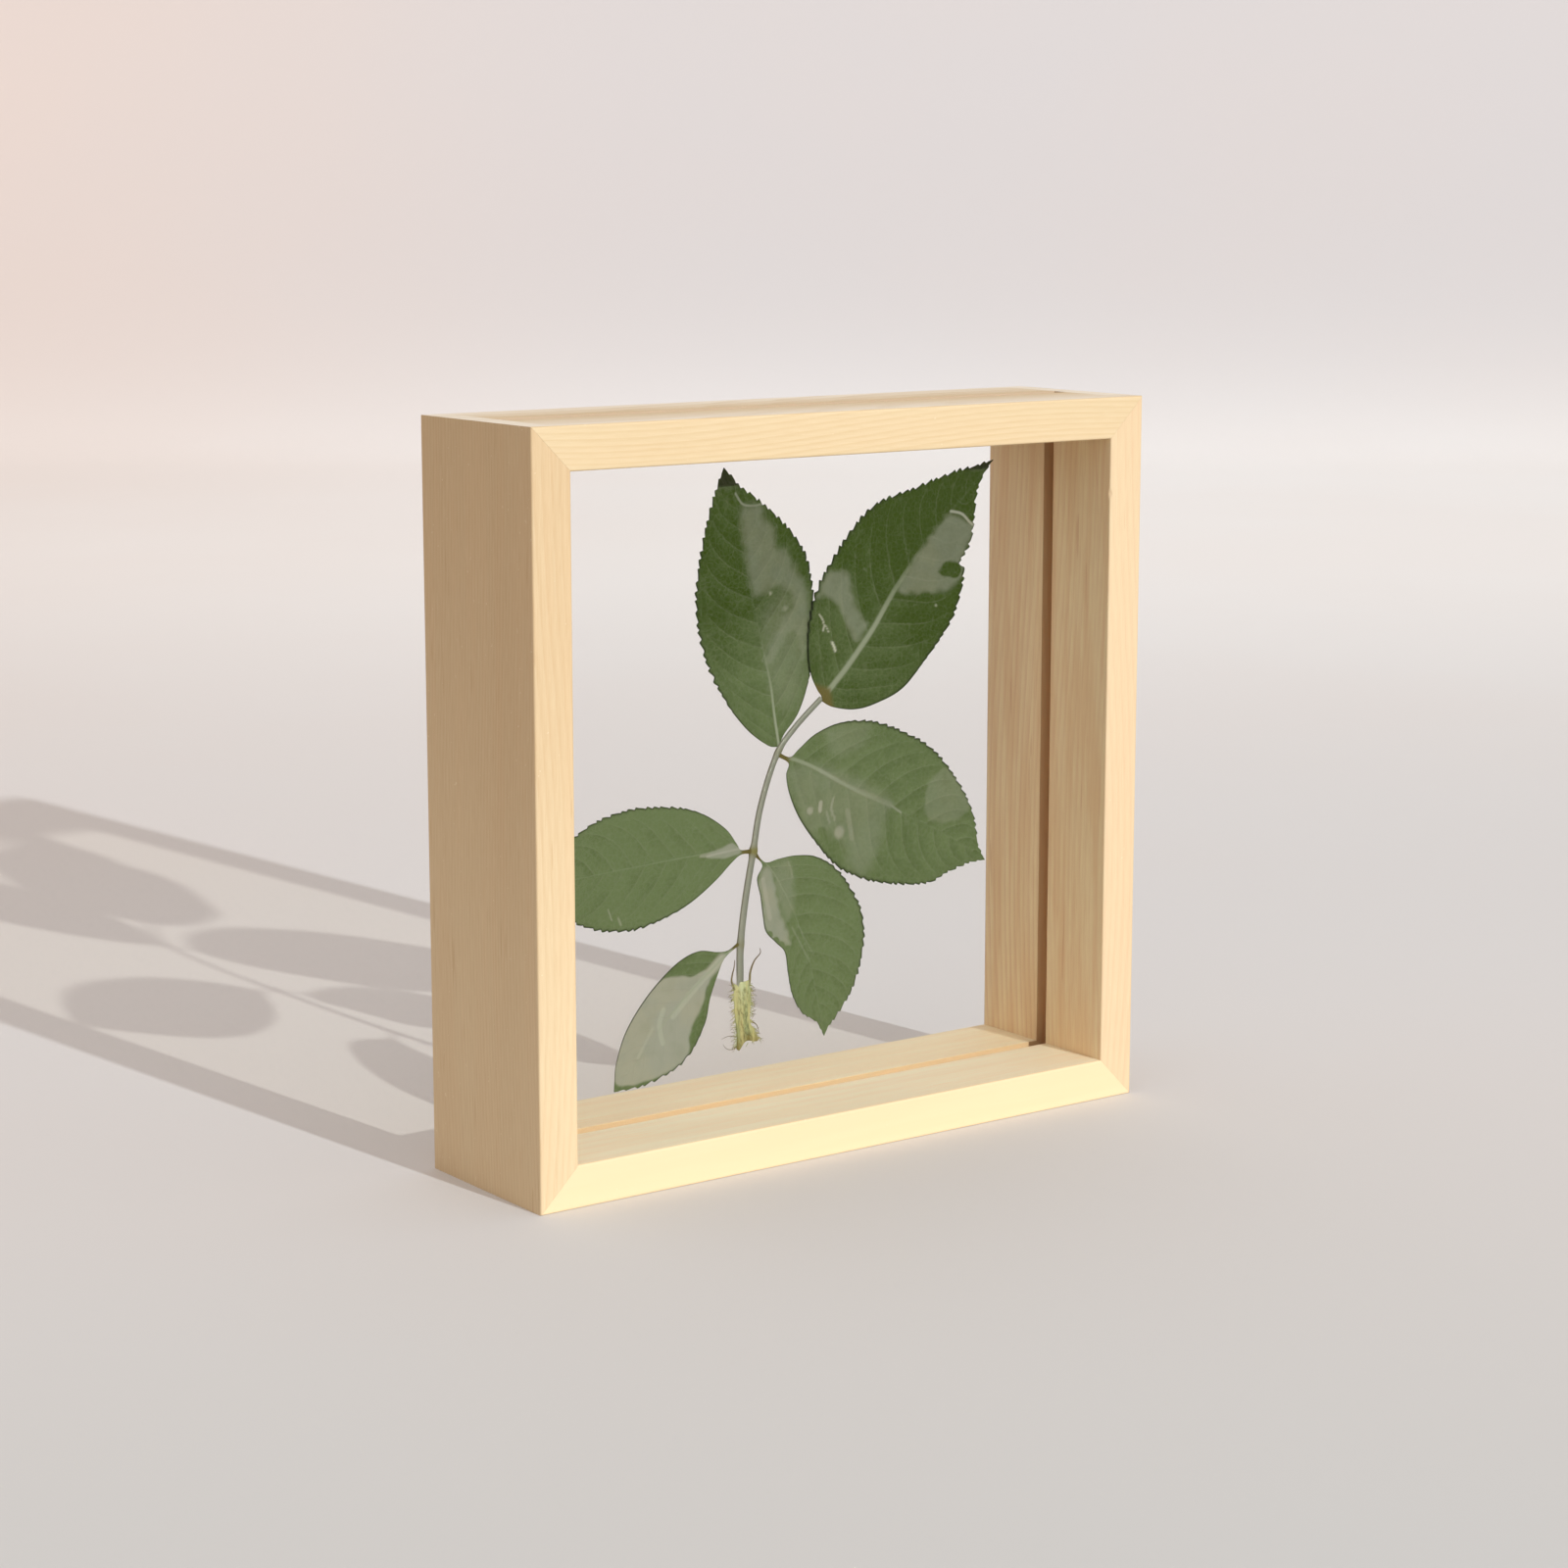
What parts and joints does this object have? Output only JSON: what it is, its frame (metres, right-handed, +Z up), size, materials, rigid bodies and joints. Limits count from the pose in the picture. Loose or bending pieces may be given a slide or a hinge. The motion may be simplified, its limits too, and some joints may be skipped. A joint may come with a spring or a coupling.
{
  "type": "pressed flower frame",
  "caption": "Square free-standing pine frame, grooved and slotted at the top for two glass panes that hold a pressed toothed rose leaf between them.",
  "frame": {"origin": "on the ground, under the middle of the frame's bottom rail", "axes": "+X to the right along the front, the front faces -Y, +Z up"},
  "size_m": [0.15, 0.04, 0.15],
  "materials": {
    "pine": "unvarnished, finely sanded, with fine straight grain",
    "glass": "clear and polished, with a faint green in its cut edges",
    "leaf_blade": "dry green leaf, pressed flat, with paler veins",
    "leaf_stem": "dry, matt, pale grey green",
    "stipule": "dry, thin, yellow green, with hairs"
  },
  "bodies": {
    "frame": {"bottom_rail": "pine", "left_stile": "pine", "right_stile": "pine", "top_rail": "pine"},
    "glazing": {"front_pane": "glass", "back_pane": "glass", "leaflet_upper_left": "leaf_blade", "leaflet_upper_right": "leaf_blade", "leaflet_middle_right": "leaf_blade", "leaflet_middle_left": "leaf_blade", "leaflet_lower_right": "leaf_blade", "leaflet_lower_left": "leaf_blade", "rachis": "leaf_stem", "stipules": "stipule"}
  },
  "joints": [
    {"name": "glazing_slide", "type": "slide", "parent": "frame", "child": "glazing", "axis": [0, 0, 1], "range_m": [0, 0.14]}
  ]
}
